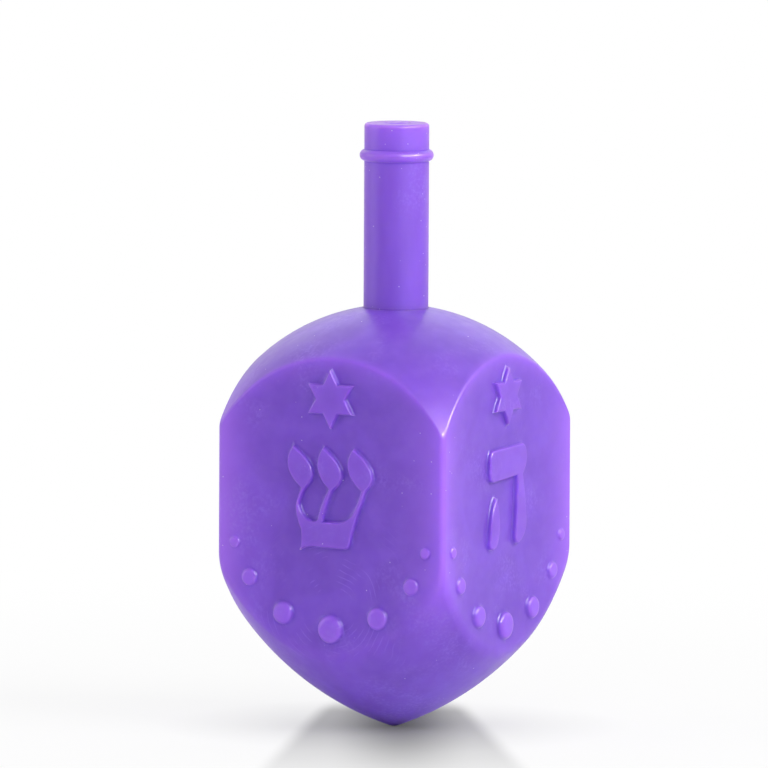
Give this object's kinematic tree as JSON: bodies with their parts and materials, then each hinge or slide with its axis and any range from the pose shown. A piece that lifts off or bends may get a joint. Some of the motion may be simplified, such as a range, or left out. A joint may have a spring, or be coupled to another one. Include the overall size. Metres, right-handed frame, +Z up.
{
  "type": "dreidel",
  "caption": "Four-sided spinning top with a domed shoulder, a curved point, a round finger stem with a bead, and raised playing letters, stars and dots on its faces.",
  "frame": {"origin": "the spinning point, on the spin axis at the bottom of the body", "axes": "+Z up the spin axis towards the stem's end, -Y out of the front face with the letter shin, +X out of the right face with the letter hay"},
  "size_m": [0.0192, 0.0192, 0.0444],
  "materials": {
    "violet_plastic": "satin moulded, slightly waxy and translucent"
  },
  "bodies": {
    "root": {"front_half_shell": "violet_plastic", "rear_half_shell": "violet_plastic", "finger_stem": "violet_plastic"}
  },
  "joints": []
}
